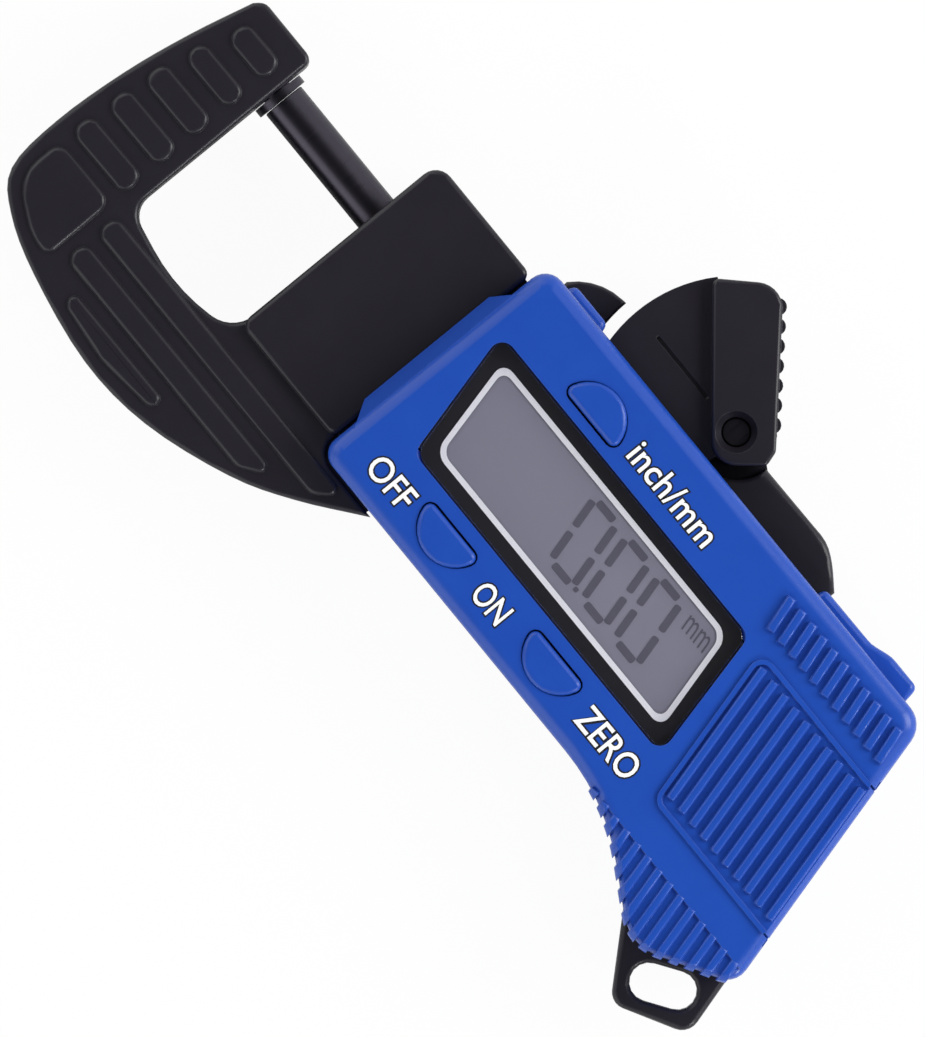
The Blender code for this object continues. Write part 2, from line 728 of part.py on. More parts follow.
def build_front_cover():
    cover = slab("front_cover", rounded(cover_corners()), FRONT_LOW, FACE_Z, top_edge=EDGE)
    for index, bump in enumerate(side_bumps()):
        name = f"front_bump_{index + 1}"
        join(cover, slab(name, bump, FRONT_LOW + 0.05, 13.0, top_edge=0.5, segments=2))
    join(cover, lip())
    cut(cover, box("grip_step", (28.4, 56.0), (-30.0, GRIP_TOP_Y - 0.15), (FACE_Z - 0.35, 20.0)))
    join(cover, grip_ribs())
    join(cover, bars("shoulder_ribs", shoulder_rib_ends(), 0.9, 16.2, FACE_Z + RIB_HEIGHT))
    cut(cover, slab("hollow", rounded(inset(cover_corners(), WALL)), 0.0, FACE_Z - WALL))
    pocket_frame = box("pocket_frame", (-10.9, 31.4), (-12.4, 2.9), (14.4, 15.7))
    tray = slab("tray", rounded(door_corners(1.2, -2.4)), TRAY_LOW, 15.8)
    cup = cylinder("cup", CUP_R, (*CELL_CENTRE, 0.0), CUP_LOW, 14.6, steps=28)
    join(cover, pocket_frame, tray, cup)
    for index, place in enumerate(COVER_SCREWS):
        foot = CHASSIS_TOP + GAP
        join(cover, cylinder(f"post_{index + 1}", POST_R, (*place, 0.0), foot, 15.9, steps=12))
    for index, place in enumerate(BOARD_SCREWS):
        centre = (*place, 0.0)
        join(cover, cylinder(f"board_post_{index + 1}", 1.5, centre, BOARD_TOP + CLOSE, 15.9, steps=12))
    window_way = slab("window_way", window_outline(-CLOSE), WINDOW_Z[0] - 0.15, 18.0)
    (lcd_x0, lcd_y0), (lcd_x1, lcd_y1) = LCD_BOX
    lcd_x = (lcd_x0 - CLOSE, lcd_x1 + CLOSE)
    lcd_way = box("lcd_way", lcd_x, (lcd_y0 - CLOSE, lcd_y1 + CLOSE), (13.0, 16.0))
    cut(cover, window_way, lcd_way)
    for name, (centre, side) in BUTTONS.items():
        outline = half_round(centre, side, BUTTON_R + CLOSE, 0.9)
        cut(cover, slab(f"way_{name}", [(x, y - side * CLOSE) for x, y in outline], 13.0, 18.0))
    door_way = slab("door_way", rounded(door_corners(CLOSE, 6.0)), POCKET_LOW, 18.0)
    skirt_outline = [
        (end_x(DOOR_Y[0]) - WALL - GAP, DOOR_Y[0] - CLOSE),
        (end_x(DOOR_Y[0]) + 6.0, DOOR_Y[0] - CLOSE),
        (end_x(DOOR_Y[1]) + 6.0, DOOR_Y[1] + CLOSE),
        (end_x(DOOR_Y[1]) - WALL - GAP, DOOR_Y[1] + CLOSE),
    ]
    skirt_way = slab("skirt_way", skirt_outline, SKIRT_LOW - CLOSE, 18.0)
    groove_z = (POCKET_LOW + 0.05, 16.25)
    groove_top = box("groove_top", (31.5, 56.0), (DOOR_Y[1] - 0.5, DOOR_Y[1] + 1.0), groove_z)
    groove_low = box("groove_low", (35.5, 56.0), (DOOR_Y[0] - 1.0, DOOR_Y[0] + 0.5), groove_z)
    well = cylinder("well", WELL_R, (*CELL_CENTRE, 0.0), WELL_FLOOR, 16.0, steps=28)
    contact_way = box("contact_way", (31.5, 36.5), (-9.6, -5.4), (WELL_FLOOR + 0.02, 13.6))
    cut(cover, door_way, skirt_way, groove_top, groove_low, well, contact_way)
    neck_way = box("neck_way", (LEFT_X - 2, LEFT_X + 2.5), (-16.3, 7.3), (0.0, 10.7))
    heel_way = slab("heel_way", heel_outline(GAP), 0.0, 10.65)
    lever_way = box("lever_way", (-3.6, 27.9), (7.5, 13.0), (0.0, 12.3))
    flange_way = box("flange_way", (27.0, FLANGE_END_X + GAP), (7.45, 13.0), (0.0, FLANGE_TOP + GAP))
    fin_way = slab("fin_way", FIN_WAY, 4.5, 8.3)
    loop_way = slab("loop_way", rounded(inset(loop_corners(), -GAP)), 3.5, 8.1)
    cut(cover, neck_way, heel_way, lever_way, flange_way, fin_way, loop_way)
    for index, place in enumerate(COVER_SCREWS):
        centre = (*place, 0.0)
        cut(cover, cylinder(f"post_hole_{index + 1}", SCREW_R + CLOSE, centre, 0.0, 12.5, steps=12))
    for index, place in enumerate(BOARD_SCREWS):
        cut(cover, cylinder(f"board_hole_{index + 1}", 0.8, (*place, 0.0), 10.0, 14.8, steps=12))
    return finish(cover, blue_plastic())


def build_battery_door():
    """Cut from the cover's own outer form, so that its tail end carries on the cover's edge."""
    door = slab("battery_door", rounded(cover_corners()), SKIRT_LOW, FACE_Z, top_edge=EDGE)
    place = slab("door_place", rounded(door_corners(0.0, 6.0)), 0.0, 20.0)
    combine(door, place, "INTERSECT")
    under = door_corners(4.0, -WALL)
    cut(door, slab("door_under", [(x, y) for x, y, _ in under], 0.0, DOOR_LOW))
    tongue_z = (DOOR_LOW + 0.05, 16.0)
    top = box("tongue_top", (32.5, 43.5), (DOOR_Y[1] - 1.0, DOOR_Y[1] + 0.7), tongue_z)
    low = box("tongue_low", (36.5, 47.0), (DOOR_Y[0] - 0.7, DOOR_Y[0] + 1.0), tongue_z)
    join(door, top, low)
    inner = rounded(door_corners(-BEAD_HALF, 6.0))
    root = slab("bead_root", rounded(door_corners(-CLOSE / 2, -0.6)), 16.0, BEAD_TOP - 0.05)
    bead = slab("bead", rounded(door_corners(BEAD_HALF, -0.7)), FACE_Z + RUNNING, BEAD_TOP)
    for shape in (root, bead):
        cut(shape, slab(f"{shape.name}_middle", inner, FACE_Z, 18.0))
    join(door, root, bead)
    starts = [30.5 + DOOR_PITCH * index for index in range(10)]
    rib_ends = [((x, 1.1), (x + 3.9, -13.6)) for x in starts]
    join(door, bars("door_ribs", rib_ends, 0.85, 16.2, FACE_Z + RIB_HEIGHT))
    return finish(door, blue_plastic())


def build_anvil():
    face, back, end = ANVIL_FACE_X, ARM_FACE_X + 0.15, -46.0
    profile = ((0, face), (ANVIL_R, face), (ANVIL_R, back), (SHANK_R, back), (SHANK_R, end), (0, end))
    return finish(turned("anvil", profile, (0, 0, AXIS_Z), along_x=True), steel())


def build_spindle():
    """The measuring rod, with a thinner rear shank in the carriage."""
    front = CARRIAGE_X[0] - GAP
    profile = (
        (0, SHANK_END_X),
        (SHANK_R, SHANK_END_X),
        (SHANK_R, front),
        (SPINDLE_R, front),
        (SPINDLE_R, SPINDLE_TIP_X + 0.1),
        (SPINDLE_R - 0.1, SPINDLE_TIP_X),
        (0, SPINDLE_TIP_X),
    )
    return finish(turned("spindle", profile, (0, 0, AXIS_Z), along_x=True), black_plastic())


def build_bush():
    front, back = BLOCK_FACE_X + 0.15, BUSH_END_X
    bore = SPINDLE_R + RUNNING
    profile = ((BUSH_R, back), (BUSH_R, front), (bore, front), (bore, back))
    brass = material("Brass", "B08D47", 0.35, 1.0)
    return finish(turned("spindle_bush", profile, (0, 0, AXIS_Z), along_x=True), brass)


def build_carriage():
    """Slides on the rail; its slot takes the lever's finger, its tower carries the scale."""
    carriage = box("carriage", CARRIAGE_X, CARRIAGE_Y, CARRIAGE_Z, edge=0.3)
    tower_z = (CARRIAGE_Z[0] + 0.1, TOWER_TOP)
    join(carriage, box("tower", TOWER_X, TOWER_Y, tower_z, edge=0.3))
    bore_end = SHANK_END_X + GAP
    bore = cylinder("shank_bore", SHANK_R + CLOSE, (0, 0, AXIS_Z), CARRIAGE_X[0] - 1, bore_end, True)
    x, _ = finger_centre()
    slot_half = FINGER_R + CLOSE
    slot = box("finger_slot", (x - slot_half, x + slot_half), (-5.5, -0.4), (6.8, 12.0))
    groove_y = (RAIL_Y[0] - GAP, RAIL_Y[1] + GAP)
    groove = box("rail_groove", (-9.0, 30.0), groove_y, (0.0, RAIL_TOP + GAP))
    screw_hole = cylinder("set_screw_hole", 0.85, (-1.0, 0.0, 0.0), 7.0, 12.0, steps=16)
    cut(carriage, bore, slot, groove, screw_hole)
    return finish(carriage, material("White acetal", "D9D8D2", 0.45))


def build_set_screw():
    screw = turned(
        "spindle_set_screw",
        ((0, 8.7), (0.3, 8.7), (0.35, 9.15), (0.7, 9.15), (0.7, 8.4), (0.45, 8.2), (0, 8.2)),
        (-1.0, 0.0, 0.0),
        steps=16,
    )
    return finish(screw, steel())


def build_scale_strip():
    strip = box(
        "scale_strip",
        (TOWER_X[0] + 0.5, TOWER_X[1] - 0.5),
        (TOWER_Y[0] + 0.5, TOWER_Y[1] - 0.5),
        (TOWER_TOP + RUNNING, TOWER_TOP + 0.4),
    )
    return finish(strip, material("Scale laminate", "2E6B3E", 0.5))


def build_spring():
    """A compression spring from the carriage to the seat, with one closed turn at each end."""
    start = CARRIAGE_X[1] + GAP + SPRING_WIRE_R
    end = SEAT_X[0] - GAP - SPRING_WIRE_R
    per_turn = 10
    closed_pitch = 2 * SPRING_WIRE_R + 0.08
    curve = bpy.data.curves.new("return_spring", "CURVE")
    curve.dimensions = "3D"
    curve.bevel_depth = SPRING_WIRE_R * MM
    curve.bevel_resolution = 1
    curve.use_fill_caps = True
    line = curve.splines.new("POLY")
    count = SPRING_TURNS * per_turn
    line.points.add(count)
    open_pitch = (end - start - 2 * closed_pitch) / (SPRING_TURNS - 2)
    for index, point in enumerate(line.points):
        turn = index / per_turn
        closed = min(turn, 1.0) + max(turn - SPRING_TURNS + 1, 0.0)
        x = start + closed * closed_pitch + (turn - closed) * open_pitch
        angle = 2 * math.pi * turn
        y = SPRING_Y + SPRING_COIL_R * math.cos(angle)
        z = SPRING_Z + SPRING_COIL_R * math.sin(angle)
        point.co = (x * MM, y * MM, z * MM, 1.0)
    made = bpy.data.objects.new("return_spring", curve)
    PARTS.objects.link(made)
    curve.materials.append(steel())
    return made


def lever_plate_outline():
    """The quarter round web and the inner arm, as one plate about the pivot."""
    finger = finger_centre()
    left = ARM_ANGLE - 90
    web = arc(PIVOT, WEB_R, 147.6, 197.0, 12)
    neck = [(*polar(PIVOT, 7.5, 222.0), 1.5), (*polar(polar(PIVOT, 6.0, ARM_ANGLE), 1.9, left), 1.5)]
    tip = arc(finger, 1.7, left, left + 180, 10)
    back = polar(polar(PIVOT, 3.4, ARM_ANGLE), -1.9, left)
    inside = [back, polar(PIVOT, 1.8, 290.0), lever_point(-1.5, 1.0), lever_point(13.0, -1.0)]
    sharp = [(x, y, 0) for x, y in tip + inside]
    return rounded([(x, y, 0) for x, y in web] + neck + sharp)


def build_lever():
    """Thumb lever: ribbed panel, web behind it, and the arm with its finger in the carriage."""
    panel_corners = [
        (-3.2, 2.9, 0.6),
        (-1.9, 3.75, 0.8),
        (14.0, 4.5, 2.5),
        (14.6, -2.2, 0.6),
        (-3.2, -2.4, 2.4),
    ]
    outline = [(*lever_point(a, b), r) for a, b, r in panel_corners]
    lever = slab("lever", rounded(outline), PANEL_LOW, PANEL_TOP, 0.3, 0.3, segments=2)
    plate = slab("lever_plate", lever_plate_outline(), WEB_LOW, WEB_TOP)
    finger = cylinder("finger", FINGER_R, (*finger_centre(), 0.0), 7.2, 10.4, steps=20)
    join(lever, plate, finger)
    for index in range(7):
        along = 0.67 + THUMB_RIB_PITCH * index
        centre = lever_point(along, 3.39 + 0.0472 * along)
        low, high = PANEL_LOW + 0.6, PANEL_TOP - 0.4
        name = f"thumb_rib_{index + 1}"
        join(lever, cylinder(name, THUMB_RIB_R, (*centre, 0.0), low, high, steps=16))
    hole = cylinder("lever_hole", PIN_R + RUNNING + 0.05, (*PIVOT, 0.0), 2.0, 14.0)
    mouth, seat = PIN_HEAD_R + 0.75, PIN_HEAD_R + 0.2
    funnel = ((0, 14.0), (mouth, 14.0), (mouth, PANEL_TOP - 0.1), (seat, PANEL_TOP - 0.6))
    recess = turned("pin_recess", (*funnel, (seat, PANEL_TOP - 2.6), (0, PANEL_TOP - 2.6)), (*PIVOT, 0.0))
    line = box("web_line", (-0.2, 7.3), (13.05, 13.4), (WEB_TOP - 0.35, PANEL_TOP + 1))
    cut(lever, hole, recess)
    cut(lever, line)
    return move_origin(finish(lever, black_plastic()), (*PIVOT, 0.0))


def build_lever_pin():
    top, under, low = PANEL_TOP - 1.4, PANEL_TOP - 2.4, CHASSIS_LOW + 0.05
    profile = ((0, top), (PIN_HEAD_R, top), (PIN_HEAD_R, under), (PIN_R, under), (PIN_R, low), (0, low))
    return finish(turned("lever_pin", profile, (*PIVOT, 0.0)), steel())


def build_display():
    window = slab("display_window", window_outline(), *WINDOW_Z, top_edge=0.2, segments=1)
    finish(window, material("Smoked acrylic", "2A2A2E", 0.15))
    (x0, y0), (x1, y1) = LCD_BOX
    finish(box("lcd_panel", (x0, x1), (y0, y1), LCD_Z), material("LCD glass", "7E7E86", 0.25))
    (x0, y0), (x1, y1) = ELASTOMER_BOX
    strip = box("elastomer_strip", (x0, x1), (y0, y1), ELASTOMER_Z)
    finish(strip, material("Silicone rubber", "B9A7A0", 0.7))


def build_board():
    (x0, y0), (x1, y1) = BOARD_BOX
    corners = [(x0, y1, 0.5), (x0, y0, 0.5), (x1, y0, 0.5), (x1, y1, 0.5)]
    board = slab("circuit_board", rounded(corners), BOARD_LOW, BOARD_TOP)
    for index, place in enumerate(BOARD_SCREWS):
        cut(board, cylinder(f"board_way_{index + 1}", 0.9, (*place, 0.0), 10.0, 14.0, steps=12))
    return finish(board, material("Green circuit board", "1F5A34", 0.4))


def build_buttons():
    for name, (centre, side) in BUTTONS.items():
        x, y = centre
        outline = half_round(centre, side, BUTTON_R, 0.7)
        cap = slab(f"button_{name}", outline, 14.9, BUTTON_TOP, top_edge=0.4, segments=2)
        bar_y = sorted((y + side * 0.5, y + side * 2.4))
        bar = box(f"bar_{name}", (x - 4.5, x + 4.5), bar_y, (14.55, 15.15))
        stem = cylinder(f"stem_{name}", 1.1, (x, y + side * 1.45, 0.0), 13.4, 15.1, steps=14)
        join(cap, bar, stem)
        move_origin(finish(cap, blue_plastic()), (x, y + side * 1.45, BUTTON_TOP))
        base, crown = DOME_Z
        profile = ((0, crown), (1.2, crown), (DOME_R, base + 0.08), (DOME_R, base), (0, base))
        finish(turned(f"dome_{name}", profile, (x, y + side * 1.45, 0.0), steps=16), steel())


def build_battery():
    low, high = CELL_Z
    cap_r, step = CELL_R - 0.9, low + 0.5
    profile = (
        (0, high),
        (CELL_R - 0.3, high),
        (CELL_R, high - 0.3),
        (CELL_R, step),
        (cap_r, step - 0.2),
        (cap_r, low),
        (0, low),
    )
    finish(turned("coin_cell", profile, (*CELL_CENTRE, 0.0), steps=28), steel())
    minus = box("battery_contact_minus", (CONTACT_X, 43.0), (-9.3, -8.1), (9.48, 9.68))
    join(minus, box("minus_tab", (CONTACT_X - 0.05, CONTACT_X + 0.2), (-9.2, -8.2), (9.5, 12.6)))
    finish(minus, steel())
    plus = box("battery_contact_plus", (CONTACT_X, 34.88), (-7.3, -6.1), (12.9, 13.1))
    join(plus, box("plus_blade", (34.68, 34.9), (-7.2, -6.2), (10.3, 13.05)))
    finish(plus, steel())


def build_screws():
    low, high = SCREW_HEAD_Z
    for index, place in enumerate(COVER_SCREWS):
        profile = (
            (0, SCREW_TOP),
            (0.3, SCREW_TOP),
            (SCREW_R, SCREW_TOP - 1.0),
            (SCREW_R, high),
            (SCREW_HEAD_R, high),
            (SCREW_HEAD_R, low + 0.2),
            (SCREW_HEAD_R - 0.2, low),
            (0, low),
        )
        finish(turned(f"cover_screw_{index + 1}", profile, (*place, 0.0), steps=16), steel())
    for index, place in enumerate(BOARD_SCREWS):
        under, top = BOARD_LOW - CLOSE, 14.4
        low = under - 0.6
        profile = ((0, top), (0.6, top - 0.4), (0.6, under), (1.4, under), (1.4, low), (0, low))
        finish(turned(f"board_screw_{index + 1}", profile, (*place, 0.0), steps=12), steel())


clear_scene()
PARTS = new_collection("digital_thickness_gauge")
CUTTERS = new_collection("cutters")
build_frame()
build_rear_cover()
build_front_cover()
build_battery_door()
build_anvil()
build_spindle()
build_bush()
build_carriage()
build_set_screw()
build_scale_strip()
build_spring()
build_lever()
build_lever_pin()
build_display()
build_board()
build_buttons()
build_battery()
build_screws()
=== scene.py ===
"""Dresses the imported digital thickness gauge: moulded plastics, display, print, light and camera.

Lengths are written in millimetres and made in metres. +X runs from the anvil to the tail,
+Y to the thumb lever, +Z out of the display.
"""

import math

import bmesh
import bpy
from mathutils import Matrix, Vector


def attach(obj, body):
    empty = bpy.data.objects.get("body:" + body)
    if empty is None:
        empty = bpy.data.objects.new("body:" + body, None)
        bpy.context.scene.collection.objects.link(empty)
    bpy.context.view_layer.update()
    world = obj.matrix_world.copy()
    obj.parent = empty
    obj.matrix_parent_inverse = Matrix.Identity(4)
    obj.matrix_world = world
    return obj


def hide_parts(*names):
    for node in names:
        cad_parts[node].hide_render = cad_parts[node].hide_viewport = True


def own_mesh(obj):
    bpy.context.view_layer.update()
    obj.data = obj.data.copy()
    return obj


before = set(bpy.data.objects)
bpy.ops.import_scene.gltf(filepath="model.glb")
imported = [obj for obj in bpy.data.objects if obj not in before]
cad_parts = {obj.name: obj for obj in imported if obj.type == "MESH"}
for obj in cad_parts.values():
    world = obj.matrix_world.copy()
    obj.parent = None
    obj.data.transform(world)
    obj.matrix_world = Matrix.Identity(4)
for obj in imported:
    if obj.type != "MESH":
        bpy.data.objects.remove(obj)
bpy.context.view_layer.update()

MM = 0.001

# Height of the front cover's face
FACE_Z = 17.0

# Camera straight above the display, turned so that the gauge lies as in the photograph, with
# the height of the picture as it falls on the face
CAMERA_TURN = 50.7
CAMERA_CENTRE = (1.44, -11.99)
CAMERA_LENS = 800.0
CAMERA_SENSOR = 36.0
VIEW_HEIGHT = 98.11

# Display window: the pane's outline, corner radius, heights and softened rim
WINDOW = ((-9.5, 1.75), (27.1, 1.75), (30.3, -11.45), (-6.1, -11.45))
WINDOW_R = 1.1
WINDOW_Z = (15.55, 16.85)
WINDOW_RIM = 0.15

# Black border film under the pane: how far it passes the pane, out under the gap to the cover where
# it is painted shade of that gap, its radii and heights
GAP_SHADE_OVERHANG = 0.14
FILM_R = 1.5
FILM_INNER_R = 1.1
FILM_Z = (15.42, 15.48)

# Bright frame line round the clear opening
LINE_OUTER = ((-7.65, 0.45), (25.95, 0.45), (28.75, -10.05), (-5.05, -10.05))
LINE_WIDTH = 0.54
LINE_R = 1.4
LINE_INNER_R = 1.11
LINE_Z = (15.49, 15.53)

# Figures on the display: seven segment digits that lean back, inked on top of the panel
LCD_TOP = 15.35
LCD_INK_Z = (LCD_TOP + 0.005, LCD_TOP + 0.03)
DIGIT_STARTS = (7.8, 12.6, 17.4)
DIGIT_WIDTH = 3.45
DIGIT_TOP = -1.05
DIGIT_LOW = -8.05
STROKE = 0.76
POINT_PLACE = (13.45, -7.95)
POINT_WIDTH = 0.5
LEAN = 0.27
UNIT_BOX = (22.6, 25.7, -2.55, -1.0)

# Bars of a digit: how far the level and the upright ones start inside its width, what the
# upright ones leave free at their ends and at mid height, and the rounding as a share of width
LEVEL_BAR_INSET = 0.55
UPRIGHT_BAR_INSET = 0.1
END_GAP = 0.3
MIDDLE_GAP = 0.32
BAR_ROUND = 0.3

# Printed words: name, words, and the box on the face that they fill; their weight and heights
LABELS = (
    ("label_off", "OFF", -8.1, -2.8, -16.25, -13.75),
    ("label_on", "ON", 7.45, 11.3, -16.15, -13.7),
    ("label_zero", "ZERO", 22.8, 30.4, -16.05, -13.5),
    ("label_inch_mm", "inch/mm", 6.65, 18.0, 3.63, 6.17),
)
WORD_WEIGHT = 0.01
WORD_Z = (FACE_Z - 0.02, FACE_Z + 0.04)

# Dark outline under the words: how far it passes their box, its weight and heights
OUTLINE = 0.16
OUTLINE_WEIGHT = 0.057
OUTLINE_Z = (FACE_Z - 0.03, FACE_Z + 0.02)

# Moulded plastic: the radius left on every edge, the grain as drawn and the faint mottling
EDGE_SOFTNESS = 0.12
GRAIN_SIZE = 0.28
GRAIN_DEPTH = 0.003
MOTTLE_SIZE = 5.0

# Metal: spacing and depth of the fine lines that a tool leaves
TOOL_LINE = 0.12
TOOL_LINE_DEPTH = 0.002

# Share of light that clear acrylic mirrors when it is looked at squarely
ACRYLIC_MIRROR = 0.04

# Triangles are joined at this distance, and edges that turn further than this stay sharp
WELD = 0.002
MOULDING_SHARP = math.radians(50)
PIECE_SHARP = math.radians(32)
COIL_SHARP = math.radians(60)

# Steps that round a plate's corner, its rim and a bar's corner
CORNER_STEPS = 6
RIM_STEPS = 2
BAR_STEPS = 3

# Heights in a mesh that differ by less count as one, in metres
SAME_HEIGHT = 1e-7

# White bench in metres: its reach each way, its drop below the gauge's back, and the share of
# plain white that the camera sees on it
BENCH_REACH = 1.5
BENCH_DROP = 0.0001
BENCH_WHITE = 0.95

# Lamps: name, place in the picture (right, up, height) and size, both in metres, and watts
LAMPS = (
    ("key softbox", (0.4, 0.05, 0.28), (0.25, 0.35), 1.66),
    ("side softbox", (-0.28, 0.34, 0.26), (0.6, 0.6), 1.08),
    ("low fill", (-0.34, -0.3, 0.2), (0.5, 0.5), 0.62),
    ("rim light", (0.2, -0.3, 0.2), (0.05, 0.1), 0.4),
)
LAMP_AIM = (0.0, 0.0, 0.01)


def linear(hex_colour):
    """sRGB hex to the linear values that the shaders work in."""
    channels = [int(hex_colour[i : i + 2], 16) / 255 for i in (0, 2, 4)]
    return tuple(c / 12.92 if c <= 0.04045 else ((c + 0.055) / 1.055) ** 2.4 for c in channels)


def rgba(hex_colour):
    """The same with full opacity, as a colour socket takes it."""
    return (*linear(hex_colour), 1.0)


def add_node(owner, kind, settings=None, links=None):
    """Adds a node to a material's or the world's tree, with its settings and what feeds it."""
    node = owner.node_tree.nodes.new(kind)
    for name, value in (settings or {}).items():
        if isinstance(name, int) or name in node.inputs:
            node.inputs[name].default_value = value
        else:
            setattr(node, name, value)
    for name, source in (links or {}).items():
        owner.node_tree.links.new(source, node.inputs[name])
    return node


def new_material(name):
    """An empty material with nodes."""
    made = bpy.data.materials.new(name)
    made.use_nodes = True
    made.node_tree.nodes.clear()
    return made


def output(material, shader):
    """Makes the shader the material's surface, and gives the material back."""
    add_node(material, "ShaderNodeOutputMaterial", links={"Surface": shader.outputs[0]})
    return material


def moulded_abs(name, dark, light, roughness, gloss):
    """Injection moulded ABS: a spark eroded mould leaves a fine satin grain on it.

    The real grain is about 0.05 mm and is drawn coarser, as fine as still shows. Gloss is the
    shader's specular level, below its usual half where the grain scatters the mirrored light.
    """
    material = new_material(name)
    place = add_node(material, "ShaderNodeTexCoord").outputs["Object"]
    cloud = add_node(
        material,
        "ShaderNodeTexNoise",
        {"Scale": 1 / (MOTTLE_SIZE * MM), "Detail": 3.0, "Roughness": 0.6},
        {"Vector": place},
    )
    tone = add_node(
        material,
        "ShaderNodeMix",
        {"data_type": "RGBA", 6: rgba(dark), 7: rgba(light)},
        {"Factor": cloud.outputs["Fac"]},
    )
    grain = add_node(
        material,
        "ShaderNodeTexNoise",
        {"Scale": 1 / (GRAIN_SIZE * MM), "Detail": 2.0, "Roughness": 0.5},
        {"Vector": place},
    )
    sheen = add_node(
        material,
        "ShaderNodeMapRange",
        {"From Min": 0.3, "From Max": 0.7, "To Min": roughness - 0.02, "To Max": roughness + 0.02},
        {"Value": grain.outputs["Fac"]},
    )
    soft_edge = add_node(material, "ShaderNodeBevel", {"samples": 6, "Radius": EDGE_SOFTNESS * MM})
    bump = add_node(
        material,
        "ShaderNodeBump",
        {"Strength": 0.5, "Distance": GRAIN_DEPTH * MM},
        {"Height": grain.outputs["Fac"], "Normal": soft_edge.outputs["Normal"]},
    )
    shader = add_node(
        material,
        "ShaderNodeBsdfPrincipled",
        {"IOR": 1.54, "Specular IOR Level": gloss},
        {
            "Base Color": tone.outputs[2],
            "Roughness": sheen.outputs["Result"],
            "Normal": bump.outputs["Normal"],
        },
    )
    return output(material, shader)


def turned_metal(name, hex_colour, roughness, axis="X"):
    """Turned or rolled metal: fine lines run round or along it from the tool."""
    material = new_material(name)
    place = add_node(material, "ShaderNodeTexCoord").outputs["Object"]
    stretch = {"X": (1.0, 0.03, 0.03), "Z": (0.03, 0.03, 1.0)}[axis]
    drawn = add_node(material, "ShaderNodeMapping", {"Scale": stretch}, {"Vector": place})
    lines = add_node(
        material,
        "ShaderNodeTexNoise",
        {"Scale": 1 / (TOOL_LINE * MM), "Detail": 2.0},
        {"Vector": drawn.outputs["Vector"]},
    )
    spread = add_node(
        material,
        "ShaderNodeMapRange",
        {"From Min": 0.3, "From Max": 0.7, "To Min": roughness - 0.03, "To Max": roughness + 0.04},
        {"Value": lines.outputs["Fac"]},
    )
    bump = add_node(
        material,
        "ShaderNodeBump",
        {"Strength": 0.3, "Distance": TOOL_LINE_DEPTH * MM},
        {"Height": lines.outputs["Fac"]},
    )
    shader = add_node(
        material,
        "ShaderNodeBsdfPrincipled",
        {"Base Color": rgba(hex_colour), "Metallic": 1.0},
        {"Roughness": spread.outputs["Result"], "Normal": bump.outputs["Normal"]},
    )
    return output(material, shader)


def even_finish(name, dark, light, roughness, spot_mm):
    """A smooth skin with a faint change of tone, such as ink, laminate or rubber."""
    material = new_material(name)
    place = add_node(material, "ShaderNodeTexCoord").outputs["Object"]
    cloud = add_node(
        material,
        "ShaderNodeTexNoise",
        {"Scale": 1 / (spot_mm * MM), "Detail": 4.0},
        {"Vector": place},
    )
    tone = add_node(
        material,
        "ShaderNodeMix",
        {"data_type": "RGBA", 6: rgba(dark), 7: rgba(light)},
        {"Factor": cloud.outputs["Fac"]},
    )
    bump = add_node(
        material,
        "ShaderNodeBump",
        {"Strength": 0.15, "Distance": 0.01 * MM},
        {"Height": cloud.outputs["Fac"]},
    )
    shader = add_node(
        material,
        "ShaderNodeBsdfPrincipled",
        {"Roughness": roughness, "IOR": 1.5},
        {"Base Color": tone.outputs[2], "Normal": bump.outputs["Normal"]},
    )
    return output(material, shader)


def clear_acrylic():
    """Clear cast acrylic: it mirrors a little at its skin and lets the rest through."""
    material = new_material("Clear acrylic window")
    place = add_node(material, "ShaderNodeTexCoord").outputs["Object"]
    smear = add_node(
        material, "ShaderNodeTexNoise", {"Scale": 1 / (6.0 * MM), "Detail": 2.0}, {"Vector": place}
    )
    spread = add_node(
        material,
        "ShaderNodeMapRange",
        {"To Min": 0.03, "To Max": 0.09},
        {"Value": smear.outputs["Fac"]},
    )
    facing = add_node(material, "ShaderNodeLayerWeight", {"Blend": 0.5}).outputs["Facing"]
    steep = add_node(material, "ShaderNodeMath", {"operation": "POWER", 1: 5.0}, {0: facing})
    edge = add_node(
        material,
        "ShaderNodeMath",
        {"operation": "MULTIPLY_ADD", 1: 1.0 - ACRYLIC_MIRROR, 2: ACRYLIC_MIRROR},
        {0: steep.outputs[0]},
    )
    clear = add_node(material, "ShaderNodeBsdfTransparent", {"Color": (0.97, 0.97, 0.98, 1.0)})
    mirror = add_node(
        material, "ShaderNodeBsdfGlossy", links={"Roughness": spread.outputs["Result"]}
    )
    mixed = add_node(
        material,
        "ShaderNodeMixShader",
        links={0: edge.outputs[0], 1: clear.outputs[0], 2: mirror.outputs[0]},
    )
    return output(material, mixed)


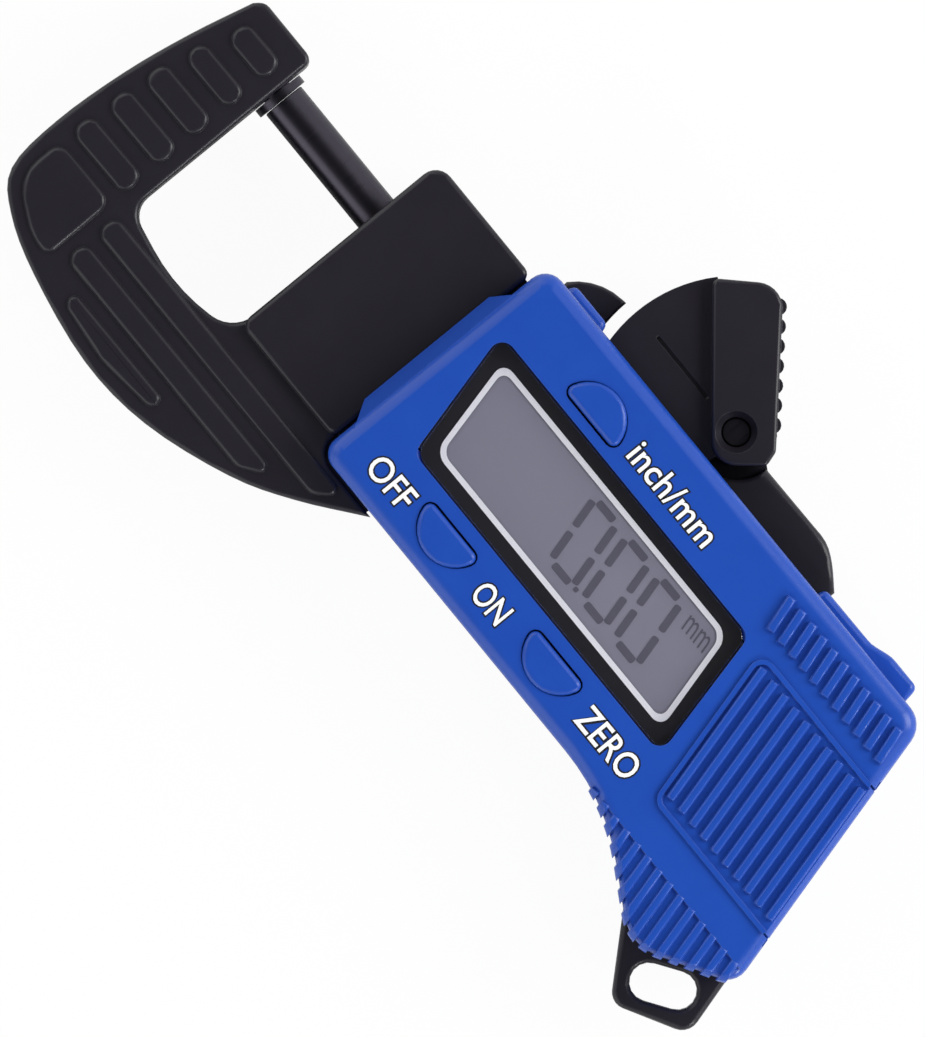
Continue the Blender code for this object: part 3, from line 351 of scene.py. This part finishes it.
def moulded_shading():
    """Joins a CAD node's loose triangles and smooths them but for its real edges."""
    group = bpy.data.node_groups.new("Moulded shading", "GeometryNodeTree")
    group.interface.new_socket("Geometry", in_out="INPUT", socket_type="NodeSocketGeometry")
    group.interface.new_socket("Geometry", in_out="OUTPUT", socket_type="NodeSocketGeometry")
    nodes, links = group.nodes, group.links
    start = nodes.new("NodeGroupInput")
    merge = nodes.new("GeometryNodeMergeByDistance")
    merge.inputs["Distance"].default_value = WELD * MM
    plain = nodes.new("GeometryNodeRemoveAttribute")
    plain.inputs["Name"].default_value = "custom_normal"
    faces = nodes.new("GeometryNodeSetShadeSmooth")
    faces.domain = "FACE"
    edges = nodes.new("GeometryNodeSetShadeSmooth")
    edges.domain = "EDGE"
    sharp = nodes.new("GeometryNodeSetShadeSmooth")
    sharp.domain = "EDGE"
    sharp.inputs["Shade Smooth"].default_value = False
    angle = nodes.new("GeometryNodeInputMeshEdgeAngle")
    steep = nodes.new("FunctionNodeCompare")
    steep.operation = "GREATER_THAN"
    steep.inputs[1].default_value = MOULDING_SHARP
    end = nodes.new("NodeGroupOutput")
    links.new(angle.outputs["Unsigned Angle"], steep.inputs[0])
    links.new(steep.outputs[0], sharp.inputs["Selection"])
    chain = [start, merge, plain, faces, edges, sharp, end]
    for first, second in zip(chain, chain[1:]):
        links.new(first.outputs[0], second.inputs[0])
    return group


def even_flats(piece):
    """Keeps the flat faces of a piece flat in the light, with only its rims shaded round."""
    flats = piece.modifiers.new("Even flats", "WEIGHTED_NORMAL")
    flats.keep_sharp = True


def keep(shape, name, material):
    """Turns a bmesh into a piece of the object that rides on the housing."""
    bmesh.ops.recalc_face_normals(shape, faces=shape.faces)
    mesh = bpy.data.meshes.new(name)
    shape.to_mesh(mesh)
    shape.free()
    mesh.materials.append(material)
    mesh.shade_smooth()
    mesh.set_sharp_from_angle(angle=PIECE_SHARP)
    made = bpy.data.objects.new(name, mesh)
    bpy.context.scene.collection.objects.link(made)
    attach(made, "housing")
    return made


def moved_in(corners, distance):
    """The corners of a clockwise outline moved inwards."""
    moved = []
    count = len(corners)
    for index in range(count):
        before, here, after = (Vector(corners[(index + k) % count]) for k in (-1, 0, 1))
        incoming, outgoing = (here - before).normalized(), (after - here).normalized()
        from_before = before + Vector((incoming.y, -incoming.x)) * distance
        from_here = here + Vector((outgoing.y, -outgoing.x)) * distance
        step = (from_here - from_before).cross(outgoing) / incoming.cross(outgoing)
        moved.append(tuple(from_before + incoming * step))
    return moved


def is_upright(edge):
    return abs(edge.verts[0].co.z - edge.verts[1].co.z) > SAME_HEIGHT


def leaning_plate(corners, radius, low, high, rim=0.0):
    """A plate over four corners, with its upright edges rounded and its top rim softened."""
    shape = bmesh.new()
    ring = [shape.verts.new((x * MM, y * MM, low * MM)) for x, y in corners]
    face = shape.faces.new(ring)
    raised = bmesh.ops.extrude_face_region(shape, geom=[face])["geom"]
    tops = [v for v in raised if isinstance(v, bmesh.types.BMVert)]
    bmesh.ops.translate(shape, verts=tops, vec=(0.0, 0.0, (high - low) * MM))
    round_edges(shape, [e for e in shape.edges if is_upright(e)], radius, CORNER_STEPS)
    if rim:
        upper = {v for v in shape.verts if abs(v.co.z - high * MM) < SAME_HEIGHT}
        round_edges(shape, [e for e in shape.edges if upper.issuperset(e.verts)], rim, RIM_STEPS)
    return shape


def round_edges(shape, edges, radius, steps):
    """Rounds edges of a shape to a radius in millimetres."""
    bmesh.ops.bevel(
        shape,
        geom=edges,
        offset=radius * MM,
        offset_type="OFFSET",
        affect="EDGES",
        segments=steps,
        profile=0.5,
        material=-1,
    )


def leaning_ring(outer, outer_r, inner, inner_r, low, high):
    """A flat ring between two leaning rectangles, such as a printed border."""
    shape = bmesh.new()
    loops = []
    for corners, radius in ((outer, outer_r), (inner, inner_r)):
        plate = leaning_plate(corners, radius, low, high)
        tops = [f for f in plate.faces if f.calc_center_median().z > high * MM - SAME_HEIGHT]
        loops.append([v.co.copy() for v in tops[0].verts])
        plate.free()
    edges = []
    for points in loops:
        ring = [shape.verts.new(point) for point in points]
        edges += [shape.edges.new(pair) for pair in zip(ring, ring[1:] + ring[:1])]
    bmesh.ops.triangle_fill(shape, edges=edges, use_beauty=True)
    for face in list(shape.faces):
        if face.normal.z < 0:
            face.normal_flip()
    lower = bmesh.ops.extrude_face_region(shape, geom=shape.faces[:])["geom"]
    moved = [v for v in lower if isinstance(v, bmesh.types.BMVert)]
    bmesh.ops.translate(shape, verts=moved, vec=(0.0, 0.0, (low - high) * MM))
    return shape


def lettering(name, words, box, heights, weight, material, lean=0.0):
    """Words fitted to a box (x0, x1, y_low, y_high) on the face, raised as a thin print."""
    curve = bpy.data.curves.new(name, "FONT")
    curve.body = words
    curve.size = 1.0
    curve.offset = weight
    curve.resolution_u = 4
    curve.extrude = 0.5
    drawn = bpy.data.objects.new(name, curve)
    bpy.context.scene.collection.objects.link(drawn)
    bpy.context.view_layer.update()
    graph = bpy.context.evaluated_depsgraph_get()
    mesh = bpy.data.meshes.new_from_object(drawn.evaluated_get(graph))
    bpy.data.objects.remove(drawn)
    shape = bmesh.new()
    shape.from_mesh(mesh)
    bpy.data.meshes.remove(mesh)
    bmesh.ops.remove_doubles(shape, verts=shape.verts, dist=1e-5)
    xs = [v.co.x for v in shape.verts]
    ys = [v.co.y for v in shape.verts]
    x0, x1, y0, y1 = box
    low, high = heights
    wide = (x1 - x0) / (max(xs) - min(xs))
    tall = (y1 - y0) / (max(ys) - min(ys))
    fit = Matrix.Diagonal((wide * MM, tall * MM, (high - low) * MM, 1.0))
    fit = fit @ Matrix.Translation((-min(xs), -min(ys), 0.5))
    slope = Matrix.Identity(4)
    slope[0][1] = -lean
    place = Matrix.Translation((x0 * MM, y0 * MM, low * MM))
    bmesh.ops.transform(shape, matrix=place @ slope @ fit, verts=shape.verts)
    return keep(shape, name, material)


def segment(shape, start, end, width=STROKE):
    """One inked bar of a seven segment digit, with its corners rounded."""
    low, high = LCD_INK_Z
    run = Vector(end) - Vector(start)
    made = bmesh.ops.create_cube(shape, size=1.0)["verts"]
    size = Matrix.Diagonal((run.length * MM, width * MM, (high - low) * MM, 1.0))
    turn = Matrix.Rotation(math.atan2(run.y, run.x), 4, "Z")
    middle = (Vector(start) + Vector(end)) / 2
    place = Matrix.Translation(Vector((middle.x, middle.y, (low + high) / 2)) * MM)
    bmesh.ops.transform(shape, matrix=place @ turn @ size, verts=made)
    edges = {edge for v in made for edge in v.link_edges}
    round_edges(shape, [e for e in edges if is_upright(e)], width * BAR_ROUND, BAR_STEPS)


def digit_zero(name, start, ink):
    """The figure 0: all segments but the middle one, leaning as the display does."""
    shape = bmesh.new()
    middle = (DIGIT_TOP + DIGIT_LOW) / 2

    def lean(x, y):
        return start + x + LEAN * (DIGIT_TOP - y), y

    for y in (DIGIT_TOP, DIGIT_LOW):
        segment(shape, lean(LEVEL_BAR_INSET, y), lean(DIGIT_WIDTH - LEVEL_BAR_INSET, y))
    for x in (UPRIGHT_BAR_INSET, DIGIT_WIDTH - UPRIGHT_BAR_INSET):
        segment(shape, lean(x, DIGIT_TOP - END_GAP), lean(x, middle + MIDDLE_GAP))
        segment(shape, lean(x, middle - MIDDLE_GAP), lean(x, DIGIT_LOW + END_GAP))
    return keep(shape, name, ink)


def dress_cad_nodes():
    """Gives each CAD node its real finish and shades it as a moulding."""
    black = moulded_abs("Black ABS satin", "1F1D24", "25232A", 0.32, 0.3)
    blue = moulded_abs("Blue ABS satin", "1A45A5", "1F4DAF", 0.3, 0.34)
    black_oxide = turned_metal("Black oxide steel", "48454E", 0.3)
    steel = turned_metal("Ground steel", "A8ABB0", 0.26)
    plated = turned_metal("Nickel plated steel", "C2C3C4", 0.2, axis="Z")
    brass = turned_metal("Turned brass", "B08D47", 0.3)
    acetal = even_finish("Natural acetal", "D2D1CB", "DCDBD6", 0.42, 3.0)
    laminate = even_finish("Green solder mask", "184A2B", "1F5A34", 0.3, 1.2)
    rubber = even_finish("Silicone rubber", "AE9C96", "BBA9A3", 0.7, 0.5)
    lcd = even_finish("LCD polariser", "828190", "8A8998", 0.5, 9.0)
    looks = {
        "frame": black,
        "lever": black,
        "rear_cover": blue,
        "front_cover": blue,
        "battery_door": blue,
        "button_inch_mm": blue,
        "button_on_off": blue,
        "button_zero": blue,
        "spindle": black_oxide,
        "anvil": black_oxide,
        "spindle_bush": brass,
        "carriage": acetal,
        "circuit_board": laminate,
        "scale_strip": laminate,
        "elastomer_strip": rubber,
        "lcd_panel": lcd,
        "lever_pin": black_oxide,
        "return_spring": steel,
    }
    shading = moulded_shading()
    for name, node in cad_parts.items():
        look = looks.get(name, plated)
        for material_slot in node.material_slots:
            material_slot.link = "OBJECT"
            material_slot.material = look
        shaded = node.modifiers.new("Moulded shading", "NODES")
        shaded.node_group = shading
        even_flats(node)
    return looks


def close_spring(steel):
    """The return spring as a welded copy of its CAD node, which rides on the housing while the node
    is hidden.
    """
    shape = bmesh.new()
    shape.from_mesh(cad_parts["return_spring"].data)
    bmesh.ops.remove_doubles(shape, verts=shape.verts, dist=WELD * MM)
    coil = keep(shape, "return_spring_coil", steel)
    coil.data.set_sharp_from_angle(angle=COIL_SHARP)
    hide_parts("return_spring")
    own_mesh(coil)


def build_display():
    """The acrylic window with its printed border, run out as painted shade of the gap round it, and
    the figures on the panel under it.
    """
    border_ink_and_gap_shade = even_finish("Black border print and gap shade", "1E1D22", "232227", 0.35, 2.0)
    line_ink = even_finish("Bright frame line", "F2F2F5", "F8F8FA", 0.5, 1.0)
    segment_ink = even_finish("LCD segment", "575562", "5C5A68", 0.5, 0.8)
    pane = keep(
        leaning_plate(WINDOW, WINDOW_R, *WINDOW_Z, rim=WINDOW_RIM),
        "window_pane",
        clear_acrylic(),
    )
    even_flats(pane)
    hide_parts("display_window")
    # The black border film runs out past the pane under the gap to the cover: painted shade of that
    # gap, which shows as a thin dark line round the pane
    gap_shade_outer = moved_in(WINDOW, -GAP_SHADE_OVERHANG)
    border_inner = moved_in(LINE_OUTER, LINE_WIDTH / 2)
    border = leaning_ring(gap_shade_outer, FILM_R, border_inner, FILM_INNER_R, *FILM_Z)
    keep(border, "window_border_print_and_gap_shade", border_ink_and_gap_shade)
    line_inner = moved_in(LINE_OUTER, LINE_WIDTH)
    line = leaning_ring(LINE_OUTER, LINE_R, line_inner, LINE_INNER_R, *LINE_Z)
    keep(line, "window_frame_line", line_ink)
    for index, start in enumerate(DIGIT_STARTS):
        digit_zero(f"lcd_digit_{index + 1}", start, segment_ink)
    point = bmesh.new()
    x, y = POINT_PLACE
    ends = (x, y + POINT_WIDTH / 2), (x, y - POINT_WIDTH / 2)
    segment(point, *ends, POINT_WIDTH)
    keep(point, "lcd_decimal_point", segment_ink)
    lettering("lcd_unit_mm", "mm", UNIT_BOX, LCD_INK_Z, 0.0, segment_ink, LEAN)


def print_labels():
    """White pad printed words beside the buttons, each with a thin dark outline."""
    white = even_finish("White pad print ink", "F0F1F2", "F8F9FA", 0.45, 0.6)
    dark = even_finish("Dark outline ink", "0E1018", "12141E", 0.45, 0.6)
    for name, words, x0, x1, y0, y1 in LABELS:
        box = (x0, x1, y0, y1)
        grown = (x0 - OUTLINE, x1 + OUTLINE, y0 - OUTLINE, y1 + OUTLINE)
        lettering(f"{name}_outline", words, grown, OUTLINE_Z, OUTLINE_WEIGHT, dark)
        lettering(name, words, box, WORD_Z, WORD_WEIGHT, white)


def lay_floor():
    """A white bench: the camera sees it as white, with the gauge's soft shadow kept."""
    shape = bmesh.new()
    bmesh.ops.create_grid(shape, x_segments=1, y_segments=1, size=BENCH_REACH)
    mesh = bpy.data.meshes.new("bench")
    shape.to_mesh(mesh)
    shape.free()
    material = new_material("White bench")
    ray = add_node(material, "ShaderNodeLightPath").outputs
    seen = add_node(
        material,
        "ShaderNodeMath",
        {"operation": "MAXIMUM"},
        {0: ray["Is Camera Ray"], 1: ray["Is Transmission Ray"]},
    )
    share = add_node(
        material,
        "ShaderNodeMath",
        {"operation": "MULTIPLY", 1: BENCH_WHITE},
        {0: seen.outputs[0]},
    )
    bench = add_node(material, "ShaderNodeBsdfDiffuse", {"Color": rgba("F4F4F4")})
    glow = add_node(material, "ShaderNodeEmission", {"Color": rgba("FFFFFF"), "Strength": 1.0})
    mixed = add_node(
        material,
        "ShaderNodeMixShader",
        links={0: share.outputs[0], 1: bench.outputs[0], 2: glow.outputs[0]},
    )
    output(material, mixed)
    mesh.materials.append(material)
    floor = bpy.data.objects.new("bench", mesh)
    floor.location = (0.0, 0.0, -BENCH_DROP)
    bpy.context.scene.collection.objects.link(floor)


def area_lamp(name, place, size, watts):
    """A white softbox that faces the gauge."""
    lamp = bpy.data.lights.new(name, "AREA")
    lamp.shape = "RECTANGLE"
    lamp.size, lamp.size_y = size
    lamp.energy = watts
    made = bpy.data.objects.new(name, lamp)
    made.location = place
    made.rotation_euler = (Vector(LAMP_AIM) - place).to_track_quat("-Z", "Y").to_euler()
    bpy.context.scene.collection.objects.link(made)


def image_place(right, up, height):
    """A place given as it lies in the picture, in metres from the gauge's middle."""
    turn = math.radians(CAMERA_TURN)
    across = Vector((math.cos(turn), math.sin(turn), 0.0)) * right
    along = Vector((-math.sin(turn), math.cos(turn), 0.0)) * up
    return across + along + Vector((0.0, 0.0, height))


def light_studio():
    """White surroundings that dim towards the top, and the softboxes."""
    world = bpy.data.worlds.new("studio")
    bpy.context.scene.world = world
    world.use_nodes = True
    sky = world.node_tree.nodes["Background"]
    sky.inputs["Color"].default_value = rgba("FFFFFF")
    way = add_node(world, "ShaderNodeTexCoord").outputs["Generated"]
    height = add_node(world, "ShaderNodeSeparateXYZ", links={"Vector": way}).outputs["Z"]
    fall = add_node(
        world,
        "ShaderNodeMapRange",
        {"From Min": 0.45, "From Max": 0.95, "To Min": 0.86, "To Max": 0.06},
        {"Value": height},
    )
    world.node_tree.links.new(fall.outputs["Result"], sky.inputs["Strength"])
    for name, place, size, watts in LAMPS:
        area_lamp(name, image_place(*place), size, watts)


def set_camera():
    """A long lens high above the gauge, so that it is seen as squarely as in the photograph."""
    lens = bpy.data.cameras.new("camera")
    lens.type = "PERSP"
    lens.lens = CAMERA_LENS
    lens.sensor_width = CAMERA_SENSOR
    lens.clip_start = 0.01
    lens.clip_end = 5.0
    made = bpy.data.objects.new("camera", lens)
    distance = VIEW_HEIGHT * CAMERA_LENS / CAMERA_SENSOR
    made.location = Vector((*CAMERA_CENTRE, FACE_Z + distance)) * MM
    made.rotation_euler = (0.0, 0.0, math.radians(CAMERA_TURN))
    bpy.context.scene.collection.objects.link(made)
    bpy.context.scene.camera = made


looks = dress_cad_nodes()
close_spring(looks["return_spring"])
build_display()
print_labels()
lay_floor()
light_studio()
set_camera()
bpy.context.scene.view_settings.view_transform = "Standard"
